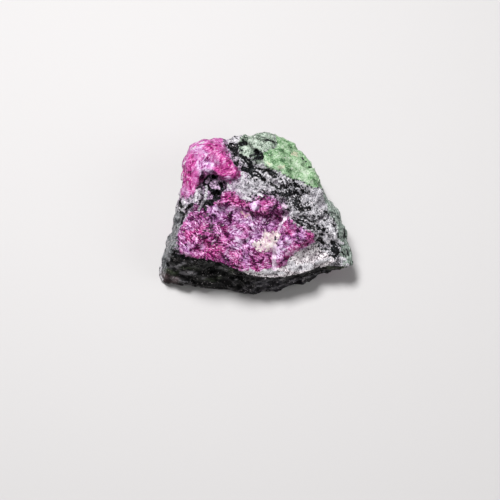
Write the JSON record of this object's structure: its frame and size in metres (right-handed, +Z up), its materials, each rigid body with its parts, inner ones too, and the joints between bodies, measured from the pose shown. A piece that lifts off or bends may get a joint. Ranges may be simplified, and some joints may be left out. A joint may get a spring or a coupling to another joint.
{
  "type": "rough mineral specimen",
  "caption": "Rough broken chunk of green and black epidote-group rock with pink ruby grown through it, a small free-standing specimen.",
  "frame": {"origin": "on the plane that the stone rests on, under the middle of its bounding box", "axes": "+X along the longest side, towards the thin right-hand corner that lifts off the floor; +Y from the steep broken front to the back; +Z up"},
  "size_m": [0.0334, 0.0274, 0.0157],
  "materials": {
    "stone": "rough broken rock with glassy glints: pink ruby, pale green, white and black grains"
  },
  "bodies": {
    "root": {"stone": "stone"}
  },
  "joints": []
}
